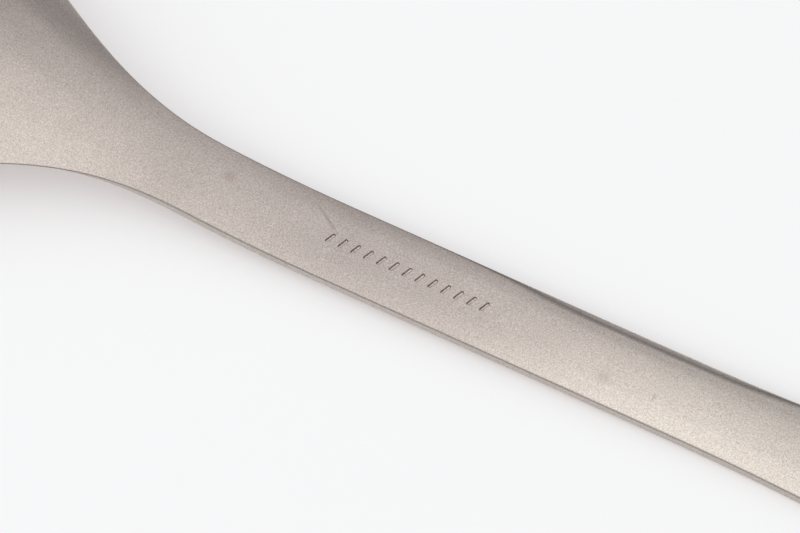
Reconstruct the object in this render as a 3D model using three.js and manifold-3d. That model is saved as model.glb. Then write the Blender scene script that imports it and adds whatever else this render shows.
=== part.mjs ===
// A spork stamped and pressed from one sheet of titanium.
// It lies face down: the back of the bowl is up, and the tine tips and the tail touch the table.
// Millimetres. +X runs from the tines to the tail, +Z is up, and the origin is under the middle.

import * as THREE from 'three';
import { mergeVertices } from 'three/addons/utils/BufferGeometryUtils.js';
import Module from 'manifold-3d';

// Overall sizes
const length = 165;
const bowlWidth = 38;
const handleWidth = 9.4;
const tailWidth = 11;

// Sheet: the handle keeps its full thickness, the bowl and the tines are rolled thinner
const handleThickness = 1.6;
const bowlThickness = 1;
const handleCrown = 0.45;
const tailCrown = 1;
const edgeRadius = 0.25;

// Plan, seen from above
const widestFromTips = 26.5;
const neckLength = 43.5;
const tailFlareLength = 32;
const frontWidth = 18;

// Side profile: heights of the upper edge line above the table
const crestFromTips = 42.5;
const crestHeight = 8.6;
const bendFromTips = 86.5;
const handleLift = 1.3;
const tailRestLength = 16.5;
const crownGrowthFromTips = 94.5;
const crownGrowthLength = 40;

// Dish of the bowl, measured from the edge line up to the spine
const bowlDepth = 7.4;
const deepestFromTips = 27;
const frontDepth = 0.8;
const thinningLength = 34;

// Tines: four of them, with a rounded root between each two
const tineLength = 13.5;
const outerTipSetback = 3.2;
const sideRootSetback = 1;
const gapRootWidth = 2.4;
const tipWidth = 3;
const innerTipShare = 1 / 3;

// One overrun serves the blank's front and every cut, and one distance welds shared corners
const overrun = 2;
const weldDistance = 0.001;

// How far each curve's handles reach, as shares of the stretch that the curve spans
const neckReachShares = { bowl: 0.37, handle: 0.45 };
const frontReachShares = { tips: 0.2, bowl: 0.55 };
const flareReachShare = 0.5;
const crestReachShares = { bowl: 0.36, handle: 0.42, bend: 0.49 };
const frontRimReachShare = 0.3;
const dishReachShares = { tips: 0.35, bowl: 0.45, neck: 0.42, handle: 0.4 };
const filletShare = 0.45;

// Mesh fineness
const headSpacing = 1.8;
const handleSpacing = 5;
const acrossSteps = 8;
const cornerSteps = 3;
const roundSteps = 18;
const halvings = 40;

// Places along X
const tipsX = -length / 2;
const blankX = tipsX - overrun;
const widestX = tipsX + widestFromTips;
const neckX = widestX + neckLength;
const crestX = tipsX + crestFromTips;
const deepestX = tipsX + deepestFromTips;
const bendX = tipsX + bendFromTips;
const tailX = length / 2;
const restX = tailX - tailRestLength;
const roundX = tailX - tailWidth / 2;
const flareX = roundX - tailFlareLength;
const crownX = tipsX + crownGrowthFromTips;
const fullCrownX = crownX + crownGrowthLength;

// A cubic curve between two points of a law, leaving and arriving at the given slopes
function bend(from, to, fromReach, toReach, fromSlope = 0, toSlope = 0) {
  return new THREE.CubicBezierCurve(
    new THREE.Vector2(from[0], from[1]),
    new THREE.Vector2(from[0] + fromReach, from[1] + fromReach * fromSlope),
    new THREE.Vector2(to[0] - toReach, to[1] - toReach * toSlope),
    new THREE.Vector2(to[0], to[1]),
  );
}

function line(from, to) {
  return new THREE.LineCurve(new THREE.Vector2(from[0], from[1]), new THREE.Vector2(to[0], to[1]));
}

// The value of a chain of curves at a place x, found by halving the curve that spans it
function valueAt(chain, x) {
  const curve = chain.find((piece) => x <= piece.getPoint(1).x) ?? chain.at(-1);
  let low = 0;
  let high = 1;
  for (let step = 0; step < halvings; step += 1) {
    const middle = (low + high) / 2;
    if (curve.getPoint(middle).x < x) {
      low = middle;
    } else {
      high = middle;
    }
  }
  return curve.getPoint((low + high) / 2).y;
}

// Half width of the outline
const frontSpan = widestX - blankX;
const plan = [
  bend(
    [blankX, frontWidth / 2],
    [widestX, bowlWidth / 2],
    frontSpan * frontReachShares.tips,
    frontSpan * frontReachShares.bowl,
    (bowlWidth - frontWidth) / 2 / (frontSpan * frontReachShares.bowl),
  ),
  bend(
    [widestX, bowlWidth / 2],
    [neckX, handleWidth / 2],
    neckLength * neckReachShares.bowl,
    neckLength * neckReachShares.handle,
  ),
  line([neckX, handleWidth / 2], [flareX, handleWidth / 2]),
  bend(
    [flareX, handleWidth / 2],
    [roundX, tailWidth / 2],
    tailFlareLength * flareReachShare,
    tailFlareLength * flareReachShare,
  ),
];

// Crown of the back: flat at the neck, and rounder where the tail lies in the hand
const crownLine = [
  line([blankX, handleCrown], [crownX, handleCrown]),
  bend([crownX, handleCrown], [fullCrownX, tailCrown], crownGrowthLength / 2, crownGrowthLength / 2),
  line([fullCrownX, tailCrown], [tailX, tailCrown]),
];

// Dish of the bowl, which runs out into the crown at the neck
const frontDishSpan = deepestX - blankX;
const backDishSpan = neckX - deepestX;
const dishLine = [
  bend(
    [blankX, frontDepth],
    [deepestX, bowlDepth],
    frontDishSpan * dishReachShares.tips,
    frontDishSpan * dishReachShares.bowl,
    (bowlDepth - frontDepth) / frontDishSpan,
  ),
  bend(
    [deepestX, bowlDepth],
    [neckX, handleCrown],
    backDishSpan * dishReachShares.neck,
    backDishSpan * dishReachShares.handle,
  ),
  line([neckX, handleCrown], [tailX, handleCrown]),
];

// Thickness of the sheet
const thinX = neckX - thinningLength;
const sheetLine = [
  line([blankX, bowlThickness], [thinX, bowlThickness]),
  bend([thinX, bowlThickness], [neckX, handleThickness], thinningLength / 2, thinningLength / 2),
  line([neckX, handleThickness], [tailX, handleThickness]),
];

// The dish of the hollow side fades out along the neck, so the handle's front is flat
function hollowAt(x) {
  const extra = Math.max(0, valueAt(dishLine, x) - handleCrown);
  return (bowlDepth * extra) / (bowlDepth - handleCrown);
}

// Height of the spine over the edge line
function domeAt(x) {
  return valueAt(dishLine, x) + valueAt(crownLine, x) - handleCrown;
}

// Places of the tines
const tipRadius = tipWidth / 2;
const rootRadius = gapRootWidth / 2;
const innerTipX = tipsX + tipRadius;
const outerTipX = innerTipX + outerTipSetback;
const outerTipY = valueAt(plan, outerTipX) - tipRadius;
const innerTipY = outerTipY * innerTipShare;
const middleRootX = tipsX + tineLength;
const sideRootX = middleRootX + sideRootSetback;
const sideRootY = (valueAt(plan, sideRootX) + rootRadius) / 2;

// Height of the edge line, which sets the outer and the inner tips down on the table
const outerFrontX = tipsX + outerTipSetback;
const tipShare = innerTipY / valueAt(plan, tipsX);
const tipDrop = hollowAt(tipsX) * (1 - tipShare ** 2);
const tipSlope = tipDrop / outerTipSetback;
const handleSlope = -handleLift / (restX - bendX);
const frontEdgeSpan = crestX - outerFrontX;
const backEdgeSpan = bendX - crestX;
const edgeLine = [
  line([blankX, bowlThickness - tipDrop - overrun * tipSlope], [outerFrontX, bowlThickness]),
  bend(
    [outerFrontX, bowlThickness],
    [crestX, crestHeight],
    frontEdgeSpan * frontRimReachShare,
    frontEdgeSpan * crestReachShares.bowl,
    tipSlope,
  ),
  bend(
    [crestX, crestHeight],
    [bendX, handleLift + handleThickness],
    backEdgeSpan * crestReachShares.handle,
    backEdgeSpan * crestReachShares.bend,
    0,
    handleSlope,
  ),
  line([bendX, handleLift + handleThickness], [restX, handleThickness]),
  line([restX, handleThickness], [tailX, handleThickness]),
];

// Half of a cross section, from the middle of the back round the edge to the middle of the front
function halfSection(x) {
  const half = valueAt(plan, x);
  const edge = valueAt(edgeLine, x);
  const dome = domeAt(x);
  const hollow = hollowAt(x);
  const thickness = valueAt(sheetLine, x);
  const radius = Math.min(edgeRadius, thickness * filletShare);
  const rim = 1 - radius / half;

  const back = (share) => new THREE.Vector2(half * share, edge + dome * (1 - share ** 2));
  const outward = (share) => new THREE.Vector2(2 * hollow * share, half).normalize();
  const front = (share) => new THREE.Vector2(half * share, edge + hollow * (1 - share ** 2))
    .addScaledVector(outward(share), -thickness);
  const corner = (from, at, to) => new THREE.QuadraticBezierCurve(from, at, to).getPoints(cornerSteps);

  const upper = back(1);
  const lower = front(1);
  const wall = outward(1);
  const upperWall = upper.clone().addScaledVector(wall, -radius);
  const lowerWall = lower.clone().addScaledVector(wall, radius);
  const shares = Array.from({ length: acrossSteps }, (_, step) => (rim * step) / acrossSteps);
  return [
    ...shares.map(back),
    ...corner(back(rim), upper, upperWall),
    ...corner(lowerWall, lower, front(rim)),
    ...shares.map(front).reverse(),
  ];
}

// Stations along X: every break of a law, with even steps between
function stations() {
  const breaks = [
    widestX, neckX, crestX, deepestX, thinX, bendX, crownX, fullCrownX, flareX, restX,
  ];
  const places = [blankX, ...breaks.filter((x) => x > blankX && x < roundX), roundX];
  places.sort((a, b) => a - b);
  const list = [places[0]];
  for (let k = 1; k < places.length; k += 1) {
    const span = places[k] - places[k - 1];
    const spacing = places[k] <= bendX ? headSpacing : handleSpacing;
    const steps = span > weldDistance ? Math.ceil(span / spacing) : 0;
    for (let step = 1; step <= steps; step += 1) {
      list.push(places[k - 1] + (span * step) / steps);
    }
  }
  return list;
}

// The blank before its tines are cut: cross sections joined along X and turned round the tail's end
function pressedBlank() {
  const corners = [];
  const skin = (a, b) => {
    for (let k = 0; k + 1 < a.length; k += 1) {
      corners.push(a[k], b[k], b[k + 1], a[k], b[k + 1], a[k + 1]);
    }
  };
  const right = (x) => halfSection(x).map((p) => new THREE.Vector3(x, p.x, p.y));
  const left = (x) => halfSection(x).map((p) => new THREE.Vector3(x, -p.x, p.y)).reverse();

  const places = stations();
  for (let k = 0; k + 1 < places.length; k += 1) {
    skin(right(places[k]), right(places[k + 1]));
    skin(left(places[k]), left(places[k + 1]));
  }

  const end = halfSection(roundX);
  const turned = (step) => {
    const angle = Math.PI / 2 - (Math.PI * step) / roundSteps;
    return end.map((p) => new THREE.Vector3(
      roundX + p.x * Math.cos(angle),
      p.x * Math.sin(angle),
      p.y,
    ));
  };
  for (let step = 0; step < roundSteps; step += 1) {
    skin(turned(step), turned(step + 1));
  }

  const front = right(places[0]);
  const mirrored = front.map((p) => new THREE.Vector3(p.x, -p.y, p.z));
  const last = front.length - 1;
  for (let k = 0; k < acrossSteps + cornerSteps; k += 1) {
    skin([front[last - k], front[last - k - 1]], [front[k], front[k + 1]]);
    skin([mirrored[k], mirrored[k + 1]], [mirrored[last - k], mirrored[last - k - 1]]);
  }
  return weld(new THREE.BufferGeometry().setFromPoints(corners));
}

// Shared corners merged, with the empty triangles at the poles left out
function weld(geometry) {
  const bare = new THREE.BufferGeometry();
  bare.setAttribute('position', geometry.getAttribute('position'));
  bare.setIndex(geometry.getIndex());
  const merged = mergeVertices(bare, weldDistance);
  const kept = [];
  const ids = merged.getIndex().array;
  for (let k = 0; k < ids.length; k += 3) {
    const [a, b, c] = [ids[k], ids[k + 1], ids[k + 2]];
    if (a !== b && b !== c && c !== a) {
      kept.push(a, b, c);
    }
  }
  merged.setIndex(kept);
  return merged;
}

// What the blanking tool takes away in front: the gaps between the tines and the space round the tips
function frontWaste() {
  const front = blankX - overrun;
  const side = bowlWidth / 2 + overrun;
  const quarter = Math.PI / 2;
  const shape = new THREE.Shape();
  const tip = (x, y) => {
    shape.lineTo(x, y + tipRadius);
    shape.absarc(x, y, tipRadius, quarter, 3 * quarter, false);
  };
  const root = (x, y) => {
    shape.lineTo(x, y + rootRadius);
    shape.absarc(x, y, rootRadius, quarter, -quarter, true);
  };
  shape.moveTo(front, side);
  shape.lineTo(outerTipX, side);
  tip(outerTipX, outerTipY);
  root(sideRootX, sideRootY);
  tip(innerTipX, innerTipY);
  root(middleRootX, 0);
  tip(innerTipX, -innerTipY);
  root(sideRootX, -sideRootY);
  tip(outerTipX, -outerTipY);
  shape.lineTo(outerTipX, -side);
  shape.lineTo(front, -side);
  shape.closePath();
  const top = crestHeight + bowlDepth + overrun;
  const waste = new THREE.ExtrudeGeometry(shape, {
    depth: top + overrun,
    bevelEnabled: false,
    curveSegments: roundSteps,
  });
  waste.translate(0, 0, -overrun);
  return weld(waste);
}

const wasm = await Module();
wasm.setup();

function solid(geometry) {
  return new wasm.Manifold(new wasm.Mesh({
    numProp: 3,
    vertProperties: new Float32Array(geometry.getAttribute('position').array),
    triVerts: new Uint32Array(geometry.getIndex().array),
  }));
}

function geometryOf(manifold) {
  const mesh = manifold.getMesh();
  const geometry = new THREE.BufferGeometry();
  geometry.setAttribute('position', new THREE.BufferAttribute(mesh.vertProperties, 3));
  geometry.setIndex(new THREE.BufferAttribute(mesh.triVerts, 1));
  geometry.computeVertexNormals();
  return geometry;
}

const blastedTitanium = new THREE.MeshStandardMaterial({
  color: 0xb4aca4,
  metalness: 0.9,
  roughness: 0.5,
});

const spork = new THREE.Mesh(geometryOf(solid(pressedBlank()).subtract(solid(frontWaste()))), blastedTitanium);
spork.name = 'spork';

const part = new THREE.Group();
part.add(spork);

export default part;
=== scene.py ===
"""A one-piece spork of blasted titanium, lying face down on a pale table.

Metres, +Z up. +X runs from the tines to the tail, and the origin is on the table, under the middle.
"""

import math

import bmesh
import bpy
from bpy.props import FloatProperty, FloatVectorProperty, IntProperty, PointerProperty, StringProperty
from mathutils import Matrix, Vector


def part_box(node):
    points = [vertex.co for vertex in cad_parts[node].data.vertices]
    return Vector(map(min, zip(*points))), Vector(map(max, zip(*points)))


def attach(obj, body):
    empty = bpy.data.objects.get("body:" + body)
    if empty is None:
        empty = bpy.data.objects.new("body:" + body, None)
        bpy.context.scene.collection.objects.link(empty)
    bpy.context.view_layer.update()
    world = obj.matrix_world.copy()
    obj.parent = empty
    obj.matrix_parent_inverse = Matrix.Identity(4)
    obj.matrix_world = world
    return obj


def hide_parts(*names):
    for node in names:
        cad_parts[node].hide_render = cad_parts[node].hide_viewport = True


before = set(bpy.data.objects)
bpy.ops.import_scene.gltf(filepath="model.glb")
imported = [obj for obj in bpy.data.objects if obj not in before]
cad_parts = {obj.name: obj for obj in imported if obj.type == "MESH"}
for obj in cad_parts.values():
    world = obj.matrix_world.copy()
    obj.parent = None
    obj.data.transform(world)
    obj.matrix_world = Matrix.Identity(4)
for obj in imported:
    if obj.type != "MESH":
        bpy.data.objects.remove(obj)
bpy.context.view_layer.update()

bl_info = {
    "name": "Blasted titanium spork",
    "version": (1, 0, 0),
    "blender": (4, 5, 0),
    "location": "3D View > Sidebar > Spork",
    "description": "Presses a one-piece spork from a flat blank and lays it on a table",
    "category": "Add Mesh",
}

MM = 0.001
# Corners closer together than this are one corner.
SAME_PLACE = 0.001 * MM
# How often the way along a curve is halved to find a place on it.
HALVINGS = 40
# Edges that fold more than this are the cut edges of the sheet.
SHARP = math.radians(60)
# Steps of the cage in half a turn, round a tip or a root, and round the tail.
ROUND_STEPS = 4
TAIL_STEPS = 16
# Steps of a stroke's cutter, round its axis and from one end to the other.
STROKE_STEPS = 16
STROKE_RINGS = 7
BEVEL_WEIGHT = "bevel_weight_edge"
# Attribute that marks where painted shade darkens the metal along the edges.
PAINTED_SHADE_MARK = "painted_shade_mark"
# The painted shade is darkest where its mark is 1, and the metal has its even tone where the mark is this far
# from 1.
PAINTED_SHADE_SPREAD = 0.5
# The setting at which a hue node leaves the hue as it is.
SAME_HUE = 0.5
SMOOTH = {"interpolation_type": "SMOOTHSTEP"}
OF_COLOURS = {"data_type": "RGBA"}


def length(name, millimetres, description):
    """A size as a property, with its default given in millimetres."""
    return FloatProperty(name=name, description=description, default=millimetres * MM, unit="LENGTH")


def place(name, millimetres, description):
    """A point as a property, with its default given in millimetres."""
    default = [value * MM for value in millimetres]
    return FloatVectorProperty(name=name, description=description, default=default, unit="LENGTH")


def share(name, part, description):
    """A share of another size as a property."""
    return FloatProperty(name=name, description=description, default=part, min=0, max=1)


def number(name, value, description):
    """A plain number as a property."""
    return FloatProperty(name=name, description=description, default=value)


def lens_size(name, millimetres, description):
    """A size of the camera's lens or sensor as a property, kept in millimetres."""
    return FloatProperty(name=name, description=description, default=millimetres, unit="CAMERA")


def angle(name, degrees, description):
    """An angle as a property, with its default given in degrees."""
    default = math.radians(degrees)
    return FloatProperty(name=name, description=description, default=default, subtype="ANGLE")


def count(name, number, description):
    """A whole number of steps or copies as a property."""
    return IntProperty(name=name, description=description, default=number, min=1)


def colour(name, code, description):
    """A colour as a property, kept as its sRGB code."""
    return StringProperty(name=name, description=description, default=code)


def linear(code):
    """The linear colour, with alpha, of an sRGB code such as #c8bfb8."""
    shades = [int(code[k : k + 2], 16) / 255 for k in (1, 3, 5)]
    toned = [s / 12.92 if s <= 0.04045 else ((s + 0.055) / 1.055) ** 2.4 for s in shades]
    return (*toned, 1.0)


class SporkSizes(bpy.types.PropertyGroup):
    """Sizes of the spork, as it is blanked, pressed and finished."""

    bowl_width: length("Bowl width", 38, "Widest place of the bowl")
    handle_width: length("Handle width", 9.4, "Width of the straight part of the handle")
    tail_width: length("Tail width", 11, "Width of the handle's round end")

    handle_thickness: length("Handle thickness", 1.6, "Sheet at the handle's edges")
    bowl_thickness: length("Bowl thickness", 1, "Sheet of the bowl and the tines")
    handle_crown: length("Handle crown", 0.45, "Height of the handle's middle over its edges, at the neck")
    tail_crown: length("Tail crown", 1, "The same at the tail, which is rounder in the hand")
    crown_power: number("Crown power", 1.12, "Above 1 the crown is flatter in its middle than a parabola")
    edge_radius: length("Edge radius", 0.17, "Rounding that tumbling leaves on every edge")
    worn_drop: length("Worn drop", 0.08, "How far use has worn down the handle's far edge")
    worn_radius: length("Worn radius", 0.2, "Rounding of the worn edge")
    # Painted shade: these two place the dark line painted along the worn band and set its width, standing in
    # for the dark reflection the worn edge catches.
    shade_line_inset: length("Worn middle", 0.8, "From the far edge to the darkest line of the worn band")
    shade_band_width: length("Worn reach", 1, "Width of the dark finish in the worn band")
    lower_radius: length("Lower radius", 0.32, "Rounding of the edges on the hollow side")
    worn_from: length("Worn from", 10, "Place behind which the far edge is worn")
    worn_to: length("Worn to", 70, "Place behind which the far edge is as new again")
    worn_length: length("Worn length", 24, "Length over which the wear grows and fades out again")
    edge_hold: length("Edge hold", 0.46, "Distance from the edges at which the cage holds the faces flat")

    widest_from_tips: length("Widest place", 26.5, "From the tips to the widest place of the bowl")
    neck_length: length("Neck length", 43.5, "From the widest place to the straight handle")
    tail_flare: length("Tail flare", 32, "Length over which the handle widens to its tail")
    front_width: length("Front width", 18, "Width that the outline runs to in front of the tips")

    crest_from_tips: length("Crest place", 42.5, "From the tips to the highest place of the edge")
    crest_height: length("Crest height", 8.6, "Highest place of the edge over the table")
    bend_from_tips: length("Bend place", 86.5, "From the tips to the end of the neck's bend")
    handle_lift: length("Handle lift", 1.3, "Gap under the handle where the neck's bend ends")
    tail_rest: length("Tail rest", 16.5, "Length of the flat that lies on the table")
    crown_from_tips: length("Crown growth place", 94.5, "From the tips to where the crown starts to grow")
    crown_growth: length("Crown growth", 40, "Length over which the crown grows to that of the tail")

    bowl_depth: length("Bowl depth", 7.4, "Height of the spine over the edge in the bowl")
    deepest_from_tips: length("Deepest place", 27, "From the tips to the deepest place of the bowl")
    front_depth: length("Front depth", 0.8, "Depth that the dish runs out to in front")
    thinning: length("Thinning", 34, "Length over which the sheet thins from handle to bowl")

    tine_length: length("Tine length", 13.5, "From the inner tips to the middle of the middle root")
    outer_setback: length("Outer tip setback", 3.2, "How far the outer tips stand back from the inner ones")
    root_setback: length("Side root setback", 1, "How far the side roots lie behind the middle one")
    gap_root: length("Gap root width", 2.4, "Width of a gap at its round root")
    tip_width: length("Tip width", 3, "Width of a tine at its round tip")
    inner_tip_share: share("Inner tip place", 1 / 3, "Place of an inner tip, from the middle to an outer tip")
    overrun: length("Overrun", 2, "How far the laws of the shape run on in front of the tips")

    neck_reach_bowl: share("Neck reach at the bowl", 0.37, "Reach of the neck's curve from the bowl")
    neck_reach_handle: share("Neck reach at the handle", 0.45, "Reach of the neck's curve from the handle")
    front_reach_tips: share("Front reach at the tips", 0.2, "Reach of the bowl's outline from the front")
    front_reach_bowl: share("Front reach at the bowl", 0.55, "Reach of the outline from its widest place")
    flare_reach: share("Flare reach", 0.5, "Reach of the tail's flare from both its ends")
    crest_reach_bowl: share("Crest reach at the bowl", 0.36, "Reach of the edge line in front of the crest")
    crest_reach_handle: share("Crest reach at the neck", 0.42, "Reach of the edge line behind the crest")
    bend_reach: share("Bend reach", 0.49, "Reach of the edge line from the end of the bend")
    front_rim_reach: share("Front rim reach", 0.3, "Reach of the edge line from the outer tips")
    dish_reach_tips: share("Dish reach at the tips", 0.35, "Reach of the dish from the front")
    dish_reach_bowl: share("Dish reach at the bowl", 0.45, "Reach of the dish in front of its deepest place")
    dish_reach_neck: share("Dish reach at the neck", 0.42, "Reach of the dish behind its deepest place")
    dish_reach_handle: share("Dish reach at the handle", 0.4, "Reach of the dish from the handle")

    head_row: length("Head row", 2.2, "Spacing of the cage's rows from the roots to the end of the stamp")
    handle_row: length("Handle row", 6, "Spacing of the cage's rows along the handle")
    tine_rows: count("Tine rows", 4, "Rows of the cage along a tine")
    levels: count("Levels", 2, "Levels of the subdivision surface")


class StampSizes(bpy.types.PropertyGroup):
    """Sizes of the plain row of strokes that is stamped into the handle."""

    first: length("First stroke", 3.2, "Place of the first stroke behind the middle of the spork")
    pitch: length("Pitch", 1.55, "From one stroke to the next")
    strokes: count("Strokes", 13, "How many strokes the row has")
    height: length("Stroke height", 1.5, "From one end of a stroke to the other, over the handle's width")
    width: length("Stroke width", 0.46, "Width of a stroke at the surface")
    depth: length("Stroke depth", 0.38, "Depth of a stroke")
    slant: angle("Slant", 24, "Lean of a stroke towards the tail")
    dent_depth: length("Dent depth", 0.12, "How far the blow of the stamp sinks the metal round the row")
    dent_width: length("Dent width", 7.2, "Width of the dent over the handle")
    dent_end: length("Dent end", 8, "Length over which the dent fades out before and behind the row")


class FinishSizes(bpy.types.PropertyGroup):
    """Colours, as sRGB codes, and sizes of the finish, of the painted shade and light on it, and of the marks
    of use on it.
    """

    metal: colour("Metal", "#d6ccc5", "Blasted titanium, a warm grey, on the ridges of the grain")
    metal_shade: colour("Metal in the pits", "#a79e97", "The same metal in the pits of the blasting")
    pit: length("Pit", 0.15, "Size of a pit of the blasting, drawn coarse enough to show")
    pit_depth: length("Pit depth", 0.02, "Depth of a pit")
    pit_bump: share("Pit bump", 0.5, "How strongly the pits turn the light")
    roughness: share("Roughness", 0.3, "Roughness of the blasted face, finer than the pits")
    grain_detail: count("Grain detail", 2, "How often a grain half as coarse is laid over it")
    grain_roughness: share("Grain roughness", 0.7, "How strong each finer layer of the grain is")
    grain_low: share("Grain low", 0.3, "Value of the grain that is the floor of a pit")
    grain_high: share("Grain high", 0.7, "Value of the grain that is the top of a ridge")
    smooth_angle: angle("Smooth angle", 40, "Folds that are blunter than this are shaded as round")
    patch: length("Patch", 4, "Size of the patches where the blasting is a little lighter or darker")
    patch_share: share("Patch strength", 0.05, "How far a patch departs from the even tone")
    # Behind this place the handle is painted brighter and warmer: the brightening is partly polish from
    # handling and partly painted light.
    handled_from: length("Handled from", 6, "Place behind which handling has brightened the metal")
    handled_length: length("Handled length", 42, "Length over which the metal gets its full shine")
    # Partly painted light: how much brighter the flat of the handle is painted towards the tail.
    polish_and_painted_light: share("Handled shine", 0.3, "How much brighter the handled metal is")
    handled_warmth: share("Handled warmth", 0.018, "How far its hue turns to yellow, of a whole turn")

    # Painted shade: the rounded edges, and a line inside the worn band, are painted darker than the faces.
    painted_edge_shade: share("Edge shade", 0.5, "How much darker the metal is on the rounded edges")

    stain: colour("Stain", "#8f766f", "Faint red brown spots")
    scuff: colour("Scuff", "#6f675f", "Dark scuffs and nicks")
    stain_at: place("Stain", (-9.8, 1.4, 0), "Middle of the stain on the neck")
    stain_size: length("Stain size", 1.2, "Reach of the stain")
    stain_strength: share("Stain strength", 0.32, "How far the stain covers the metal")
    spot_at: place("Spot", (36.7, -2, 0), "Middle of the faint spot on the handle")
    spot_size: length("Spot size", 1.3, "Reach of the spot")
    spot_strength: share("Spot strength", 0.2, "How far the spot covers the metal")
    scratch_at: place("Scratch", (2, 1.9, 0), "Middle of the scratch before the stamp")
    scratch_length: length("Scratch length", 6, "Length of the scratch")
    scratch_turn: angle("Scratch turn", -32, "Turn of the scratch from the handle's line")
    nick_at: place("Nick", (42.5, -1.8, 0), "Middle of the nick on the handle")
    nick_length: length("Nick length", 1.8, "Length of the nick")
    nick_turn: angle("Nick turn", 82, "Turn of the nick from the handle's line")
    line_width: length("Scratch width", 0.28, "Width of the scratch and the nick, drawn coarser to show")
    scratch_strength: share("Scratch strength", 0.4, "How far the scratch covers the metal")
    nick_strength: share("Nick strength", 0.24, "How far the nick covers the metal")
    mark_reach: length("Mark reach", 30, "Reach of the marks up and down, past the whole height of the back")

    table: colour("Table", "#d4dddd", "Lit colour of the table top, which its glow makes white")
    table_fill: colour("Table fill", "#ffe8e8", "Tone of the light that fills the shadows, off the metal")
    table_roughness: share("Table roughness", 0.9, "Roughness of the table top")
    table_gloss: share("Table gloss", 0.1, "Gloss of the table top, beside that of a usual plastic")


class StageSettings(bpy.types.PropertyGroup):
    """Camera, table and light."""

    elevation: angle("Elevation", 64, "Height of the camera over the horizon")
    turn: angle("Turn", 25.95, "Turn of the camera round the spork")
    distance: length("Distance", 300, "From the camera to the point that it looks at")
    look_at: place("Look at", (11.5, 0.33, 3), "Point in the middle of the picture")
    lens: lens_size("Lens", 124.3, "Focal length")
    sensor: lens_size("Sensor", 36, "Width of the sensor")
    clip: length("Clip", 3, "From the camera to the nearest thing that it shows")

    table_size: length("Table size", 12000, "Side of the table top")
    table_glow: number("Table glow", 0.28, "What the table adds to its lit colour")

    softbox_at: place("Softbox", (-89, -60, 600), "Middle of the wide softbox over the table")
    softbox_length: length("Softbox length", 216, "Side of the softboxes along the spork")
    softbox_width: length("Softbox width", 1120, "Side of the wide softbox across the spork")
    softbox_shine: number("Softbox shine", 0.3, "Radiance of the wide softbox")
    front_at: place("Front softbox", (-89, -250, 600), "Middle of the narrower softbox, nearer the camera")
    front_width: length("Front softbox width", 740, "Side of the narrower softbox across the spork")
    front_shine: number("Front softbox shine", 1.0, "Radiance of the narrower softbox")

    room_shine: number("Room shine", 0.895, "Mean radiance of the room")
    room_lean: FloatVectorProperty(
        name="Room lean", description="How much brighter the room is on each side", default=(0.53, -0.32, 0)
    )
    room: colour("Room", "#ffffff", "Tone of the room's bright side")
    room_dim: colour("Dim room", "#fdfafe", "Tone of the room's dim side")
    dim_shine: number("Dim shine", 0.6, "Radiance below which the room has the tone of its dim side")
    full_shine: number("Full shine", 1, "Radiance above which the room has the tone of its bright side")
    horizon_share: share("Horizon share", 0.12, "Shine of the room at the horizon, beside that above it")
    horizon_rise: share("Horizon rise", 0.36, "Height, on a unit sphere, of the room's full shine")


def bend(start, end, start_reach, end_reach, start_slope=0.0, end_slope=0.0):
    """A cubic curve between two points of a law, leaving and arriving at the given slopes."""
    return (
        start,
        (start[0] + start_reach, start[1] + start_reach * start_slope),
        (end[0] - end_reach, end[1] - end_reach * end_slope),
        end,
    )


def straight(start, end):
    """The straight line between two points of a law, in the same form as a bend."""
    run = end[0] - start[0]
    slope = (end[1] - start[1]) / run
    return bend(start, end, run / 3, run / 3, slope, slope)


def point_on(curve, part):
    """The point of a cubic curve at a part of its way."""
    rest = 1 - part
    weights = (rest**3, 3 * rest**2 * part, 3 * rest * part**2, part**3)
    return [sum(w * point[k] for w, point in zip(weights, curve)) for k in (0, 1)]


def value_at(chain, x):
    """The value of a chain of curves at a place x, found by halving the curve that spans it."""
    curve = next((c for c in chain if x <= c[3][0]), chain[-1])
    low, high = 0.0, 1.0
    for _ in range(HALVINGS):
        middle = (low + high) / 2
        if point_on(curve, middle)[0] < x:
            low = middle
        else:
            high = middle
    return point_on(curve, (low + high) / 2)[1]


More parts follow.
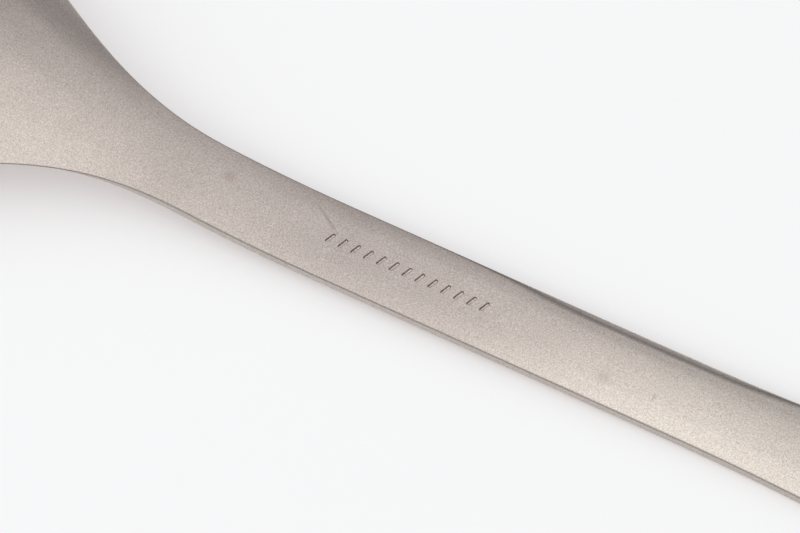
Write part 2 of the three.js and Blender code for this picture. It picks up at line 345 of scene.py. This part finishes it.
class Form:
    """Places and laws of the spork's shape, worked out from its sizes."""

    def __init__(self, s, stamp):
        low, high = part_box("spork")
        self.sizes = s
        self.stamp = stamp
        self.row_end = stamp.first + stamp.pitch * (stamp.strokes - 1)
        self.widest_rounding = max(s.edge_radius, s.worn_radius, s.lower_radius)
        self.tips_x = low.x
        self.tail_x = high.x
        self.blank_x = self.tips_x - s.overrun
        self.widest_x = self.tips_x + s.widest_from_tips
        self.neck_x = self.widest_x + s.neck_length
        self.crest_x = self.tips_x + s.crest_from_tips
        self.deepest_x = self.tips_x + s.deepest_from_tips
        self.bend_x = self.tips_x + s.bend_from_tips
        self.rest_x = self.tail_x - s.tail_rest
        self.crown_x = self.tips_x + s.crown_from_tips
        self.tail_radius = s.tail_width / 2
        self.round_x = self.tail_x - self.tail_radius
        self.flare_x = self.round_x - s.tail_flare
        self.plan = self.plan_law(s)
        self.crown_chain = self.crown_law(s)
        self.dish_chain = self.dish_law(s)
        self.sheet_chain = self.sheet_law(s)
        self.place_tines(s)
        self.edge_chain = self.edge_law(s)

    def plan_law(self, s):
        """Half width of the outline."""
        span = self.widest_x - self.blank_x
        reach = span * s.front_reach_bowl
        bowl, handle = s.bowl_width / 2, s.handle_width / 2
        start, rise = s.front_width / 2, (bowl - s.front_width / 2) / reach
        neck_bowl, neck_handle = s.neck_length * s.neck_reach_bowl, s.neck_length * s.neck_reach_handle
        flare = s.tail_flare * s.flare_reach
        return [
            bend((self.blank_x, start), (self.widest_x, bowl), span * s.front_reach_tips, reach, rise),
            bend((self.widest_x, bowl), (self.neck_x, handle), neck_bowl, neck_handle),
            straight((self.neck_x, handle), (self.flare_x, handle)),
            bend((self.flare_x, handle), (self.round_x, self.tail_radius), flare, flare),
        ]

    def crown_law(self, s):
        """Crown of the back, which grows from the neck to the tail."""
        full_x = self.crown_x + s.crown_growth
        half = s.crown_growth / 2
        return [
            straight((self.blank_x, s.handle_crown), (self.crown_x, s.handle_crown)),
            bend((self.crown_x, s.handle_crown), (full_x, s.tail_crown), half, half),
            straight((full_x, s.tail_crown), (self.tail_x, s.tail_crown)),
        ]

    def dish_law(self, s):
        """Dish of the bowl, which runs out into the crown at the neck."""
        front, back = self.deepest_x - self.blank_x, self.neck_x - self.deepest_x
        deep = (self.deepest_x, s.bowl_depth)
        rise = (s.bowl_depth - s.front_depth) / front
        tips_reach, bowl_reach = front * s.dish_reach_tips, front * s.dish_reach_bowl
        return [
            bend((self.blank_x, s.front_depth), deep, tips_reach, bowl_reach, rise),
            bend(deep, (self.neck_x, s.handle_crown), back * s.dish_reach_neck, back * s.dish_reach_handle),
            straight((self.neck_x, s.handle_crown), (self.tail_x, s.handle_crown)),
        ]

    def sheet_law(self, s):
        """Thickness of the sheet at its edge."""
        thin_x = self.neck_x - s.thinning
        half = s.thinning / 2
        return [
            straight((self.blank_x, s.bowl_thickness), (thin_x, s.bowl_thickness)),
            bend((thin_x, s.bowl_thickness), (self.neck_x, s.handle_thickness), half, half),
            straight((self.neck_x, s.handle_thickness), (self.tail_x, s.handle_thickness)),
        ]

    def place_tines(self, s):
        """Centres of the round tips and of the round roots."""
        self.tip_radius = s.tip_width / 2
        self.root_radius = s.gap_root / 2
        self.tip_cage = cage_radius(self.tip_radius, ROUND_STEPS)
        self.root_cage = cage_radius(self.root_radius, ROUND_STEPS)
        inner_x = self.tips_x + self.tip_radius
        outer_x = inner_x + s.outer_setback
        outer_y = self.half_width(outer_x) - self.tip_radius
        middle_x = self.tips_x + s.tine_length
        side_x = middle_x + s.root_setback
        self.outer_tip = (outer_x, outer_y)
        self.inner_tip = (inner_x, outer_y * s.inner_tip_share)
        self.middle_root = (middle_x, 0.0)
        self.side_root = (side_x, (self.half_width(side_x) + self.root_radius) / 2)
        self.roots_x = side_x + self.root_cage

    def edge_law(self, s):
        """Height of the upper edge, which sets the tips of all the tines down on the table."""
        front_x = self.tips_x + s.outer_setback
        tip_part = self.inner_tip[1] / self.half_width(self.tips_x)
        drop = self.hollow(self.tips_x) * (1 - tip_part**2)
        tip_slope = drop / s.outer_setback
        handle_slope = -s.handle_lift / (self.rest_x - self.bend_x)
        front_span, back_span = self.crest_x - front_x, self.bend_x - self.crest_x
        start = (self.blank_x, s.bowl_thickness - drop - s.overrun * tip_slope)
        front, crest = (front_x, s.bowl_thickness), (self.crest_x, s.crest_height)
        bent = (self.bend_x, s.handle_lift + s.handle_thickness)
        rest, tail = (self.rest_x, s.handle_thickness), (self.tail_x, s.handle_thickness)
        return [
            straight(start, front),
            bend(front, crest, front_span * s.front_rim_reach, front_span * s.crest_reach_bowl, tip_slope),
            bend(crest, bent, back_span * s.crest_reach_handle, back_span * s.bend_reach, 0, handle_slope),
            straight(bent, rest),
            straight(rest, tail),
        ]

    def half_width(self, x):
        """Half width of the outline at a place."""
        return value_at(self.plan, x)

    def edge(self, x):
        """Height of the upper edge at a place."""
        return value_at(self.edge_chain, x)

    def dish(self, x):
        """Height of the bowl's spine over the edge line, before the crown grows."""
        return value_at(self.dish_chain, x)

    def dome(self, x):
        """Height of the spine over the edge line."""
        return self.dish(x) + value_at(self.crown_chain, x) - self.sizes.handle_crown

    def sheet(self, x):
        """Thickness of the sheet at a place."""
        return value_at(self.sheet_chain, x)

    def hollow(self, x):
        """Dish of the hollow side, which fades out along the neck, so the handle's front is flat."""
        s = self.sizes
        extra = max(0.0, self.dish(x) - s.handle_crown)
        return s.bowl_depth * extra / (s.bowl_depth - s.handle_crown)

    def fall(self, x, y):
        """How far a place lies out from the spine to the edge, squared: 0 at the spine, 1 at the edge."""
        if x > self.round_x:
            return ((x - self.round_x) ** 2 + y**2) / self.tail_radius**2
        return (y / self.half_width(x)) ** 2

    def pressed(self, x, y):
        """Height of the sheet's upper face after pressing, before the crown is coined."""
        return self.edge(x) + self.hollow(x) * (1 - self.fall(x, y))

    def dent(self, x, y):
        """Depth of the soft dent round the stamped row."""
        stamp = self.stamp
        beyond = max(stamp.first - x, x - self.row_end, 0) / stamp.dent_end
        out = 2 * y / stamp.dent_width
        return stamp.dent_depth * max(0.0, 1 - beyond**2) ** 2 * max(0.0, 1 - out**2) ** 2

    def top(self, x):
        """Height of the upper face along the spine."""
        return self.edge(x) + self.dome(x) - self.dent(x, 0)

    def crown(self, x, y):
        """What the crown adds to the upper face, less the dent round the stamp."""
        fall = min(1.0, self.fall(x, y)) ** self.sizes.crown_power
        return (self.dome(x) - self.hollow(x)) * (1 - fall) - self.dent(x, y)

    def is_upper(self, at):
        """Whether a corner lies on the back, and not on the hollow side."""
        return at.z > self.pressed(at.x, at.y) - self.sheet(at.x) / 2

    def rounding(self, at):
        """Radius of the rounded edge at a place."""
        s = self.sizes
        worn = s.edge_radius + (s.worn_radius - s.edge_radius) * self.wear(at)
        return worn if self.is_upper(at) else s.lower_radius

    def wear(self, at):
        """How worn the back is at a place: only its far half, along the middle of the handle."""
        s = self.sizes
        run = min(at.x - s.worn_from, s.worn_to - at.x) / s.worn_length
        part = min(1.0, max(0.0, run))
        return part**2 * (3 - 2 * part) if at.y > 0 else 0.0

    def painted_shade_mark(self, at, is_sharp):
        """Mark of the painted shade: 1 where the metal is painted darkest, on a rounded edge or along a line
        inside the worn band.
        """
        s = self.sizes
        inward = self.half_width(at.x) - at.y
        # Painted shade along a line inside the far edge of the worn band.
        worn = max(0.0, 1 + (s.shade_line_inset - inward) / s.shade_band_width)
        wear = self.wear(at)
        return wear * worn + (1 - wear) * is_sharp


def pick(piece, test):
    """Selects, in edit mode, the corners whose place passes the test, and the edges between them."""
    bpy.ops.mesh.select_mode(type="VERT")
    bpy.ops.mesh.select_all(action="DESELECT")
    mesh = bmesh.from_edit_mesh(piece.data)
    for corner in mesh.verts:
        corner.select_set(test(corner.co))
    mesh.select_flush(True)
    bmesh.update_edit_mesh(piece.data)


def near(point):
    """A test that passes the corners at a point of the flat blank."""
    return lambda co: math.hypot(co.x - point[0], co.y - point[1]) < SAME_PLACE


def move_corner(piece, start, end):
    """Moves the corner of the flat blank that lies at start to end."""
    pick(piece, near(start))
    bpy.ops.transform.translate(value=(end[0] - start[0], end[1] - start[1], 0))


def extrude_row(piece, row, points):
    """Extrudes the run of edges through the corners of a row, and sets the new corners down at the points."""
    pick(piece, lambda co: any(near(point)(co) for point in row))
    step = points[0][0] - row[0][0]
    bpy.ops.mesh.extrude_region_move(TRANSFORM_OT_translate={"value": (step, 0, 0)})
    for old, new in zip(row, points):
        move_corner(piece, (old[0] + step, old[1]), new)
    return points


def spaced(start, end, spacing):
    """Even places from start to end, no further apart than the spacing, without the start."""
    steps = math.ceil((end - start) / spacing)
    return [start + (end - start) * k / steps for k in range(1, steps + 1)]


def cage_radius(radius, steps):
    """Radius of the corners that subdivision draws in to an arc, with that many steps in a half turn."""
    return radius * 3 / (2 + math.cos(math.pi / steps))


def widen_row(piece, x, old, new):
    """Widens the row of corners at x from one half width to another."""
    pick(piece, lambda co: abs(co.x - x) < SAME_PLACE)
    bpy.ops.transform.resize(value=(1, new / old, 1), center_override=(0, 0, 0))


def blank_handle(form, across):
    """The half blank behind the roots: a plane, extruded sideways and then back, row by row."""
    s = form.sizes
    first_x, *rows_x = [
        *spaced(form.roots_x, form.row_end, s.head_row),
        *spaced(form.row_end, form.round_x, s.handle_row),
    ]
    bpy.ops.object.select_all(action="DESELECT")
    bpy.ops.mesh.primitive_plane_add(size=1, enter_editmode=True)
    piece = bpy.context.object
    piece.name = piece.data.name = "spork_pressed"
    bpy.ops.transform.resize(value=(first_x - form.roots_x, across[1], 1), center_override=(0, 0, 0))
    bpy.ops.transform.translate(value=((form.roots_x + first_x) / 2, across[1] / 2, 0))
    for inner, outer in zip(across[1:], across[2:]):
        pick(piece, lambda co: abs(co.y - inner) < SAME_PLACE)
        bpy.ops.mesh.extrude_region_move(TRANSFORM_OT_translate={"value": (0, outer - inner, 0)})
    widen_row(piece, first_x, across[-1], form.half_width(first_x))
    back_x = first_x
    for x in rows_x:
        pick(piece, lambda co: abs(co.x - back_x) < SAME_PLACE)
        bpy.ops.mesh.extrude_region_move(TRANSFORM_OT_translate={"value": (x - back_x, 0, 0)})
        widen_row(piece, x, form.half_width(back_x), form.half_width(x))
        back_x = x
    return piece


def blank_tail(piece, form, across):
    """The round end of the handle: its last row, drawn back to an arc."""
    tail = cage_radius(form.tail_radius, TAIL_STEPS)
    row = [(form.round_x, y / across[-1] * form.tail_radius) for y in across]
    angles = [k * math.pi / TAIL_STEPS for k in range(len(row))]
    extrude_row(piece, row, [(form.round_x + tail * math.cos(a), tail * math.sin(a)) for a in angles])


def blank_tine(piece, form, row, base, centre):
    """A tine, extruded from its row at the roots to its round tip."""
    steps = form.sizes.tine_rows
    slant = math.cos(math.pi / ROUND_STEPS)
    end = [(centre[0], centre[1] - form.tip_radius), centre, (centre[0], centre[1] + form.tip_radius)]
    for k in range(steps + 1):
        part = k / steps
        points = [tuple(b[j] + (e[j] - b[j]) * part for j in (0, 1)) for b, e in zip(base, end)]
        if centre is form.outer_tip:
            points[2] = (points[2][0], form.half_width(points[2][0]))
        row = extrude_row(piece, row, points)
    turned = [(-slant, -slant), (-1.0, 0.0), (-slant, slant)]
    tip = form.tip_cage
    extrude_row(piece, row, [(centre[0] + tip * dx, centre[1] + tip * dy) for dx, dy in turned])


def half_blank(form):
    """Half of the flat blank as a cage of four-sided faces: the handle, the tail, the roots, the tines."""
    root = form.root_cage
    half = form.half_width(form.roots_x)
    middle_x = form.middle_root[0]
    side_x, side_y = form.side_root
    inner_gap, outer_gap = side_y - root, side_y + root
    inner_middle, outer_middle = (root + inner_gap) / 2, (outer_gap + half) / 2
    across = [0.0, root, inner_middle, inner_gap, side_y, outer_gap, outer_middle, half]
    piece = blank_handle(form, across)
    blank_tail(piece, form, across)

    slanted = root * math.cos(math.pi / ROUND_STEPS)
    between_x = side_x + slanted
    rounded = [
        (middle_x + root, 0.0),
        (middle_x + slanted, slanted),
        (between_x, inner_middle),
        (between_x, side_y - slanted),
        (side_x + root, side_y),
        (between_x, side_y + slanted),
        (between_x, outer_middle),
        (between_x, form.half_width(between_x)),
    ]
    for y, new in zip(across, rounded):
        move_corner(piece, (form.roots_x, y), new)

    radius = form.root_radius
    inner_sides = (middle_x, radius), (side_x, side_y - radius)
    outer_sides = (side_x, side_y + radius), (side_x, form.half_width(side_x))
    for row, (near_side, far_side), centre in (
        (rounded[1:4], inner_sides, form.inner_tip),
        (rounded[5:8], outer_sides, form.outer_tip),
    ):
        between = tuple((n + f) / 2 for n, f in zip(near_side, far_side))
        blank_tine(piece, form, row, (near_side, between, far_side), centre)
    bpy.ops.object.mode_set(mode="OBJECT")
    return piece


def finish_modifier(piece, kind, **settings):
    """Adds a modifier with its settings and applies it."""
    modifier = piece.modifiers.new(kind.title(), kind)
    for name, value in settings.items():
        setattr(modifier, name, value)
    bpy.context.view_layer.objects.active = piece
    bpy.ops.object.modifier_apply(modifier=modifier.name)


def weigh(piece, name, weight, corners=None):
    """Gives all corners, or the first ones, weights that follow a law of their place."""
    group = piece.vertex_groups.new(name=name)
    for corner in piece.data.vertices[:corners]:
        group.add([corner.index], weight(corner.co), "REPLACE")


def lift(piece, name, law, most, corners=None):
    """Lifts all corners, or the first ones, by a law of their place that stays below most."""
    weigh(piece, name, lambda co: law(co.x, co.y) / most, corners)
    finish_modifier(piece, "DISPLACE", direction="Z", mid_level=0, strength=most, vertex_group=name)


def wear_edges(piece, form):
    """Wears down the sharp edges of the back, and marks where painted shade darkens the edges and a line in
    the worn band.
    """
    mesh = bmesh.new()
    mesh.from_mesh(piece.data)
    marks = mesh.verts.layers.float.new(PAINTED_SHADE_MARK)
    for corner in mesh.verts:
        if form.is_upper(corner.co):
            is_sharp = any(edge.calc_face_angle(0) > SHARP for edge in corner.link_edges)
            corner[marks] = form.painted_shade_mark(corner.co, is_sharp)
            if is_sharp:
                corner.co.z -= form.sizes.worn_drop * form.wear(corner.co)
    mesh.to_mesh(piece.data)
    mesh.free()


def round_edges(piece, form):
    """Rounds the sharp edges, each by the radius of its place."""
    mesh = bmesh.new()
    mesh.from_mesh(piece.data)
    weights = mesh.edges.layers.float.new(BEVEL_WEIGHT)
    widest = form.widest_rounding
    for edge in mesh.edges:
        middle = (edge.verts[0].co + edge.verts[1].co) / 2
        edge[weights] = form.rounding(middle) / widest if edge.calc_face_angle(0) > SHARP else 0
    mesh.to_mesh(piece.data)
    mesh.free()
    finish_modifier(
        piece, "BEVEL", width=widest, segments=2, limit_method="WEIGHT", use_clamp_overlap=False
    )


def whole_blank(form):
    """The flat blank: its half mirrored, merged along the middle, with its upper face up."""
    piece = half_blank(form)
    finish_modifier(piece, "MIRROR", use_axis=(False, True, False), merge_threshold=SAME_PLACE)
    bpy.ops.object.mode_set(mode="EDIT")
    bpy.ops.mesh.select_all(action="SELECT")
    bpy.ops.mesh.remove_doubles(threshold=SAME_PLACE)
    bpy.ops.mesh.normals_make_consistent(inside=False)
    bpy.ops.object.mode_set(mode="OBJECT")
    if piece.data.polygons[0].normal.z < 0:
        piece.data.flip_normals()
    return piece


def press_spork(form):
    """Blank, press, thickness, crown, edge rounding and the smooth surface, in a maker's order."""
    s = form.sizes
    piece = whole_blank(form)
    lift(piece, "pressed", form.pressed, s.crest_height + s.bowl_depth)
    upper = len(piece.data.vertices)
    weigh(piece, "sheet", lambda co: form.sheet(co.x) / s.handle_thickness)
    finish_modifier(
        piece,
        "SOLIDIFY",
        thickness=s.handle_thickness,
        offset=-1,
        vertex_group="sheet",
        use_quality_normals=True,
    )
    lift(piece, "crown", form.crown, s.tail_crown, upper)
    hold = {"width": s.edge_hold, "segments": 2, "profile": 1, "angle_limit": SHARP}
    finish_modifier(piece, "BEVEL", limit_method="ANGLE", **hold)
    wear_edges(piece, form)
    round_edges(piece, form)
    finish_modifier(piece, "SUBSURF", levels=s.levels, render_levels=s.levels)
    piece.vertex_groups.clear()
    return piece


def stroke_cutter(form, stamp):
    """One stroke of the stamp: a ball, drawn out to a capsule, whose belly reaches into the handle."""
    radius = (stamp.width**2 / 4 + stamp.depth**2) / (2 * stamp.depth)
    bpy.ops.object.select_all(action="DESELECT")
    bpy.ops.mesh.primitive_uv_sphere_add(
        segments=STROKE_STEPS, ring_count=STROKE_RINGS, radius=radius, enter_editmode=True
    )
    cutter = bpy.context.object
    drawn = stamp.height / 2 - radius
    for side in (-1, 1):
        pick(cutter, lambda co: co.z * side > 0)
        bpy.ops.transform.translate(value=(0, 0, side * drawn))
    bpy.ops.mesh.select_all(action="SELECT")
    middle = (0, 0, 0)
    bpy.ops.transform.rotate(value=math.pi / 2, orient_axis="X", center_override=middle)
    bpy.ops.transform.rotate(value=stamp.slant, orient_axis="Z", center_override=middle)
    bpy.ops.transform.translate(value=(stamp.first, 0, form.top(stamp.first) + radius - stamp.depth))
    bpy.ops.object.mode_set(mode="OBJECT")
    return cutter


def stamp_row(piece, form, stamp):
    """Cuts an even row of slanted strokes into the handle."""
    cutter = stroke_cutter(form, stamp)
    row = [cutter]
    for k in range(1, stamp.strokes):
        step = stamp.pitch * k
        copy = cutter.copy()
        copy.data = cutter.data.copy()
        rise = form.top(stamp.first + step) - form.top(stamp.first)
        copy.data.transform(Matrix.Translation((step, 0, rise)))
        bpy.context.scene.collection.objects.link(copy)
        row.append(copy)
    bpy.ops.object.select_all(action="DESELECT")
    for one in row:
        one.select_set(True)
    bpy.context.view_layer.objects.active = cutter
    bpy.ops.object.join()
    finish_modifier(piece, "BOOLEAN", operation="DIFFERENCE", solver="EXACT", object=cutter)
    bpy.data.meshes.remove(cutter.data)
    return piece


def add_node(tree, kind, settings=None, values=None, links=None):
    """Adds a node with its settings, values and links, and returns its outputs."""
    node = tree.nodes.new("ShaderNode" + kind)
    for name, value in (settings or {}).items():
        setattr(node, name, value)
    for socket, value in (values or {}).items():
        node.inputs[socket].default_value = value
    for socket, source in (links or {}).items():
        tree.links.new(source, node.inputs[socket])
    return node.outputs


def mark(tree, where, upward, under, code, strength, at, size, turn):
    """Lays a soft oval mark over a colour, on faces that look up, and returns the marked colour."""
    oval = {"Location": at, "Rotation": (0, 0, turn), "Scale": size}
    local = add_node(tree, "Mapping", {"vector_type": "TEXTURE"}, oval, {"Vector": where})["Vector"]
    away = add_node(tree, "VectorMath", {"operation": "LENGTH"}, links={0: local})["Value"]
    fading = {"From Min": 0, "From Max": 1, "To Min": strength, "To Max": 0}
    fade = add_node(tree, "MapRange", SMOOTH, fading, {"Value": away})["Result"]
    cover = add_node(tree, "Math", {"operation": "MULTIPLY"}, links={0: fade, 1: upward})["Value"]
    layers = {"Factor": cover, "A": under}
    return add_node(tree, "Mix", OF_COLOURS, {"B": linear(code)}, layers)["Result"]


def bead_blasted_titanium(finish):
    """Titanium sheet, bead blasted: matt, warm grey, with a fine even grain of small pits."""
    material = bpy.data.materials.new("bead_blasted_titanium")
    material.use_nodes = True
    tree = material.node_tree
    shader = tree.nodes["Principled BSDF"]
    shader.inputs["Metallic"].default_value = 1.0
    shader.inputs["Roughness"].default_value = finish.roughness
    coordinates = add_node(tree, "TexCoord")
    where = coordinates["Object"]

    # Beads of 0.1 mm leave pits of 0.05 mm, finer than a pixel, so they are drawn three times as coarse.
    pits = {
        "Scale": 1 / finish.pit,
        "Detail": finish.grain_detail,
        "Roughness": finish.grain_roughness,
    }
    grain = add_node(tree, "TexNoise", values=pits, links={"Vector": where})["Fac"]
    heights = {"From Min": finish.grain_low, "From Max": finish.grain_high}
    spread = add_node(tree, "MapRange", values=heights, links={"Value": grain})["Result"]
    tones = {"A": linear(finish.metal_shade), "B": linear(finish.metal)}
    tone = add_node(tree, "Mix", OF_COLOURS, tones, {"Factor": spread})["Result"]

    # The blasting is a little uneven from patch to patch.
    patch = {"Scale": 1 / finish.patch}
    patches = add_node(tree, "TexNoise", values=patch, links={"Vector": where})["Fac"]
    span = {"To Min": 1 - finish.patch_share, "To Max": 1 + finish.patch_share}
    uneven = add_node(tree, "MapRange", values=span, links={"Value": patches})["Result"]

    # Painted light and polish: the flat of the handle is painted brighter towards the tail, partly for the
    # polish of handling and partly for light that falls brighter there, and handling warms its hue.
    along = add_node(tree, "SeparateXYZ", links={"Vector": where})["X"]
    growth = {"From Min": finish.handled_from, "From Max": finish.handled_from + finish.handled_length}
    behind = add_node(tree, "MapRange", SMOOTH, growth, {"Value": along})["Result"]
    facing = add_node(tree, "SeparateXYZ", links={"Vector": coordinates["Normal"]})["Z"]
    flat = add_node(tree, "Math", {"operation": "ABSOLUTE"}, links={0: facing})["Value"]
    handled = add_node(tree, "Math", {"operation": "MULTIPLY"}, links={0: behind, 1: flat})["Value"]
    gain = {1: finish.polish_and_painted_light}
    shine = add_node(tree, "Math", {"operation": "MULTIPLY_ADD"}, gain, {0: handled, 2: uneven})["Value"]
    warm = {1: finish.handled_warmth, 2: SAME_HUE}
    hue = add_node(tree, "Math", {"operation": "MULTIPLY_ADD"}, warm, {0: handled})["Value"]

    # Painted shade: the rounded edges and a line inside the worn band are painted darker than the faces,
    # standing in for the dark reflections along them.
    edge = add_node(tree, "Attribute", {"attribute_name": PAINTED_SHADE_MARK})["Fac"]
    beside = add_node(tree, "Math", {"operation": "SUBTRACT"}, {1: 1}, {0: edge})["Value"]
    away = add_node(tree, "Math", {"operation": "ABSOLUTE"}, links={0: beside})["Value"]
    dark = {"From Min": 0, "From Max": PAINTED_SHADE_SPREAD, "To Min": 1 - finish.painted_edge_shade, "To Max": 1}
    shade = add_node(tree, "MapRange", SMOOTH, dark, {"Value": away})["Result"]
    value = add_node(tree, "Math", {"operation": "MULTIPLY"}, links={0: shine, 1: shade})["Value"]
    tone = add_node(tree, "HueSaturation", links={"Color": tone, "Value": value, "Hue": hue})["Color"]

    # The marks of use lie on the back alone.
    upward = add_node(tree, "Math", {"operation": "MAXIMUM"}, {1: 0}, {0: facing})["Value"]
    stain, spot, line = finish.stain_size, finish.spot_size, finish.line_width
    scratch, nick = finish.scratch_length / 2, finish.nick_length / 2
    for code, strength, at, long, wide, turn in (
        (finish.stain, finish.stain_strength, finish.stain_at, stain, stain, 0),
        (finish.stain, finish.spot_strength, finish.spot_at, spot, spot, 0),
        (finish.scuff, finish.scratch_strength, finish.scratch_at, scratch, line, finish.scratch_turn),
        (finish.scuff, finish.nick_strength, finish.nick_at, nick, line, finish.nick_turn),
    ):
        size = (long, wide, finish.mark_reach)
        tone = mark(tree, where, upward, tone, code, strength, at, size, turn)
    tree.links.new(tone, shader.inputs["Base Color"])

    depth = {"Strength": finish.pit_bump, "Distance": finish.pit_depth}
    bumps = add_node(tree, "Bump", values=depth, links={"Height": grain})["Normal"]
    tree.links.new(bumps, shader.inputs["Normal"])
    return material


def matt_white_laminate(finish, glow):
    """Matt white laminate: nearly no gloss, and a plain glow to the eye and in the metal."""
    material = bpy.data.materials.new("matt_white_laminate")
    material.use_nodes = True
    tree = material.node_tree
    shader = tree.nodes["Principled BSDF"]
    shader.inputs["Base Color"].default_value = linear(finish.table)
    shader.inputs["Roughness"].default_value = finish.table_roughness
    shader.inputs["Specular IOR Level"].default_value = finish.table_gloss
    shader.inputs["Emission Color"].default_value = linear(finish.table_fill)
    rays = add_node(tree, "LightPath")
    either = {0: rays["Is Camera Ray"], 1: rays["Is Glossy Ray"]}
    seen = add_node(tree, "Math", {"operation": "ADD"}, links=either)["Value"]
    strength = add_node(tree, "Math", {"operation": "MULTIPLY"}, {1: glow}, {0: seen})["Value"]
    tree.links.new(strength, shader.inputs["Emission Strength"])
    return material


def lay_table(stage, material):
    """The table top under the spork, wide enough to reach past every view."""
    bpy.ops.object.select_all(action="DESELECT")
    bpy.ops.mesh.primitive_plane_add(size=1, enter_editmode=True)
    bpy.ops.transform.resize(value=(stage.table_size, stage.table_size, 1))
    bpy.ops.object.mode_set(mode="OBJECT")
    table = bpy.context.object
    table.name = table.data.name = "table_top"
    table.data.materials.append(material)


def hang_softbox(name, at, size, shine):
    """A large soft lamp over the spork, which faces down and has the radiance given as its shine."""
    lamp = bpy.data.lights.new(name, "AREA")
    lamp.shape = "RECTANGLE"
    lamp.size, lamp.size_y = size
    lamp.energy = math.pi * size[0] * size[1] * shine
    softbox = bpy.data.objects.new(name, lamp)
    softbox.location = at
    bpy.context.scene.collection.objects.link(softbox)


def light_room(stage):
    """A pale room, brighter to the right and in front of the spork, and dimmer towards the horizon."""
    room = bpy.data.worlds.new("pale_room")
    room.use_nodes = True
    tree = room.node_tree
    direction = add_node(tree, "TexCoord")["Generated"]
    sides = {1: stage.room_lean}
    lean = add_node(tree, "VectorMath", {"operation": "DOT_PRODUCT"}, sides, {0: direction})["Value"]
    shine = add_node(tree, "Math", {"operation": "ADD"}, {1: stage.room_shine}, {0: lean})["Value"]
    height = add_node(tree, "SeparateXYZ", links={"Vector": direction})["Z"]
    dusk = {"From Min": 0, "From Max": stage.horizon_rise, "To Min": stage.horizon_share, "To Max": 1}
    rise = add_node(tree, "MapRange", values=dusk, links={"Value": height})["Result"]
    dimmed = add_node(tree, "Math", {"operation": "MULTIPLY"}, links={0: shine, 1: rise})["Value"]
    shines = {"From Min": stage.dim_shine, "From Max": stage.full_shine}
    bright = add_node(tree, "MapRange", values=shines, links={"Value": shine})["Result"]
    tones = {"A": linear(stage.room_dim), "B": linear(stage.room)}
    tone = add_node(tree, "Mix", OF_COLOURS, tones, {"Factor": bright})["Result"]
    backdrop = tree.nodes["Background"]
    tree.links.new(tone, backdrop.inputs["Color"])
    tree.links.new(dimmed, backdrop.inputs["Strength"])
    return room


def set_up_camera(stage):
    """The camera, turned round the spork and looking down at it."""
    across, level = math.cos(stage.elevation), math.sin(stage.elevation)
    ahead = Vector((-math.sin(stage.turn) * across, math.cos(stage.turn) * across, -level))
    lens = bpy.data.cameras.new("camera")
    lens.lens, lens.sensor_width = stage.lens, stage.sensor
    lens.clip_start = stage.clip
    camera = bpy.data.objects.new("camera", lens)
    camera.location = Vector(stage.look_at) - ahead * stage.distance
    camera.rotation_euler = ahead.to_track_quat("-Z", "Y").to_euler()
    bpy.context.scene.collection.objects.link(camera)
    return camera


class SPORK_OT_press(bpy.types.Operator):
    """Blanks, presses and finishes the spork"""

    bl_idname = "mesh.press_spork"
    bl_label = "Press the spork"

    def execute(self, context):
        scene = context.scene
        form = Form(scene.spork_sizes, scene.stamp_sizes)
        piece = stamp_row(press_spork(form), form, scene.stamp_sizes)
        bpy.ops.object.select_all(action="DESELECT")
        piece.select_set(True)
        bpy.ops.object.shade_smooth_by_angle(angle=scene.spork_finish.smooth_angle)
        piece.data.materials.append(bead_blasted_titanium(scene.spork_finish))
        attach(piece, "root")
        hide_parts("spork")
        return {"FINISHED"}


class SPORK_OT_stage(bpy.types.Operator):
    """Lays the table, and sets up the light and the camera"""

    bl_idname = "scene.lay_spork_table"
    bl_label = "Lay the table"

    def execute(self, context):
        stage = context.scene.spork_stage
        lay_table(stage, matt_white_laminate(context.scene.spork_finish, stage.table_glow))
        wide, front = (stage.softbox_length, stage.softbox_width), (stage.softbox_length, stage.front_width)
        hang_softbox("wide_softbox", stage.softbox_at, wide, stage.softbox_shine)
        hang_softbox("front_softbox", stage.front_at, front, stage.front_shine)
        context.scene.world = light_room(stage)
        context.scene.camera = set_up_camera(stage)
        context.scene.view_settings.view_transform = "Standard"
        return {"FINISHED"}


class SPORK_PT_panel(bpy.types.Panel):
    """The spork's steps and sizes in the sidebar"""

    bl_idname = "SPORK_PT_panel"
    bl_label = "Spork"
    bl_space_type = "VIEW_3D"
    bl_region_type = "UI"
    bl_category = "Spork"

    def draw(self, context):
        for operator in OPERATORS:
            self.layout.operator(operator.bl_idname)
        for name, group in GROUPS.items():
            box = self.layout.box()
            box.label(text=group.__doc__)
            for size in group.__annotations__:
                box.prop(getattr(context.scene, name), size)


GROUPS = {
    "spork_sizes": SporkSizes,
    "stamp_sizes": StampSizes,
    "spork_finish": FinishSizes,
    "spork_stage": StageSettings,
}
OPERATORS = [SPORK_OT_press, SPORK_OT_stage]
CLASSES = [*GROUPS.values(), *OPERATORS, SPORK_PT_panel]


def register():
    """Makes the classes known, and gives the scene its sizes."""
    for one in CLASSES:
        bpy.utils.register_class(one)
    for name, group in GROUPS.items():
        setattr(bpy.types.Scene, name, PointerProperty(type=group))


def unregister():
    """Takes back what register did."""
    for name in GROUPS:
        delattr(bpy.types.Scene, name)
    for one in reversed(CLASSES):
        bpy.utils.unregister_class(one)


def main():
    """Builds the spork and its stage."""
    register()
    bpy.ops.mesh.press_spork()
    bpy.ops.scene.lay_spork_table()


if __name__ == "__main__":
    main()
